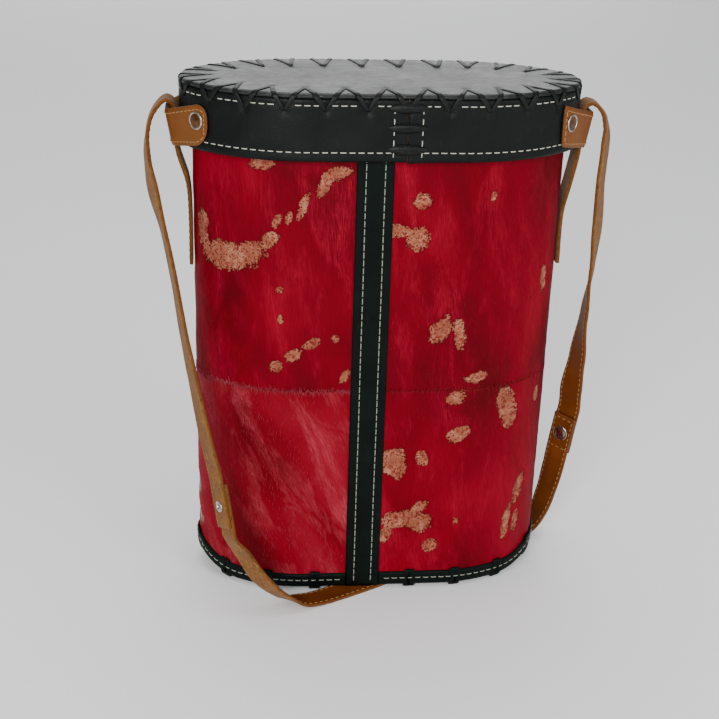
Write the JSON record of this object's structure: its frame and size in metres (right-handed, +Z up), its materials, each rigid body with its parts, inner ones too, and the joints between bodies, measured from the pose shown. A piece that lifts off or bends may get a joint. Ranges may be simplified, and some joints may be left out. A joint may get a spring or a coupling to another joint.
{
  "type": "lidded carrying case",
  "caption": "Oval lidded carrying case in dyed hair-on hide, with a laced black leather lid that slides up a tan leather shoulder strap.",
  "frame": {"origin": "on the surface that the case stands on, under the middle of the case body", "axes": "+Z up, X along the case's long sides with the strap's ends at -X and +X, -Y the front with the lid's laced seam"},
  "size_m": [0.3363, 0.1555, 0.3812],
  "materials": {
    "black_leather": "smooth semi-gloss with a fine grain",
    "lace_leather": "waxed lacing, soft sheen",
    "hair_hide_deep": "short dyed hair with bare patches",
    "hair_hide_light": "short dyed hair, lighter and streaked",
    "tan_leather": "smooth grain outside, suede inside",
    "lining_leather": "matt split leather",
    "stiff_board": "matt hard sole leather",
    "nickel": "polished nickel plate"
  },
  "bodies": {
    "case": {"case_shell": "stiff_board", "case_lining": "lining_leather", "base_board": "stiff_board", "base_sole": "black_leather", "rim_binding": "black_leather", "hide_upper_left": "hair_hide_deep", "hide_upper_right": "hair_hide_deep", "hide_lower_left": "hair_hide_light", "hide_lower_right": "hair_hide_deep", "front_strip": "black_leather", "back_strip": "black_leather", "base_binding": "black_leather", "base_lacing": "lace_leather", "strap_left": "tan_leather", "strap_middle": "tan_leather", "strap_right": "tan_leather", "strap_rivet_left": "nickel", "strap_rivet_right": "nickel"},
    "lid": {"lid_top": "black_leather", "lid_board": "stiff_board", "lid_skirt": "black_leather", "lid_lining": "lining_leather", "lid_edge_lacing": "lace_leather", "lid_seam_lacing": "lace_leather", "keeper_left": "tan_leather", "keeper_right": "tan_leather", "keeper_rivets_left": "nickel", "keeper_rivets_right": "nickel"}
  },
  "joints": [
    {"name": "lid_lift", "type": "slide", "parent": "case", "child": "lid", "axis": [0, 0, 1], "range_m": [0, 0.14], "deforming": ["strap_left", "strap_right"]}
  ]
}
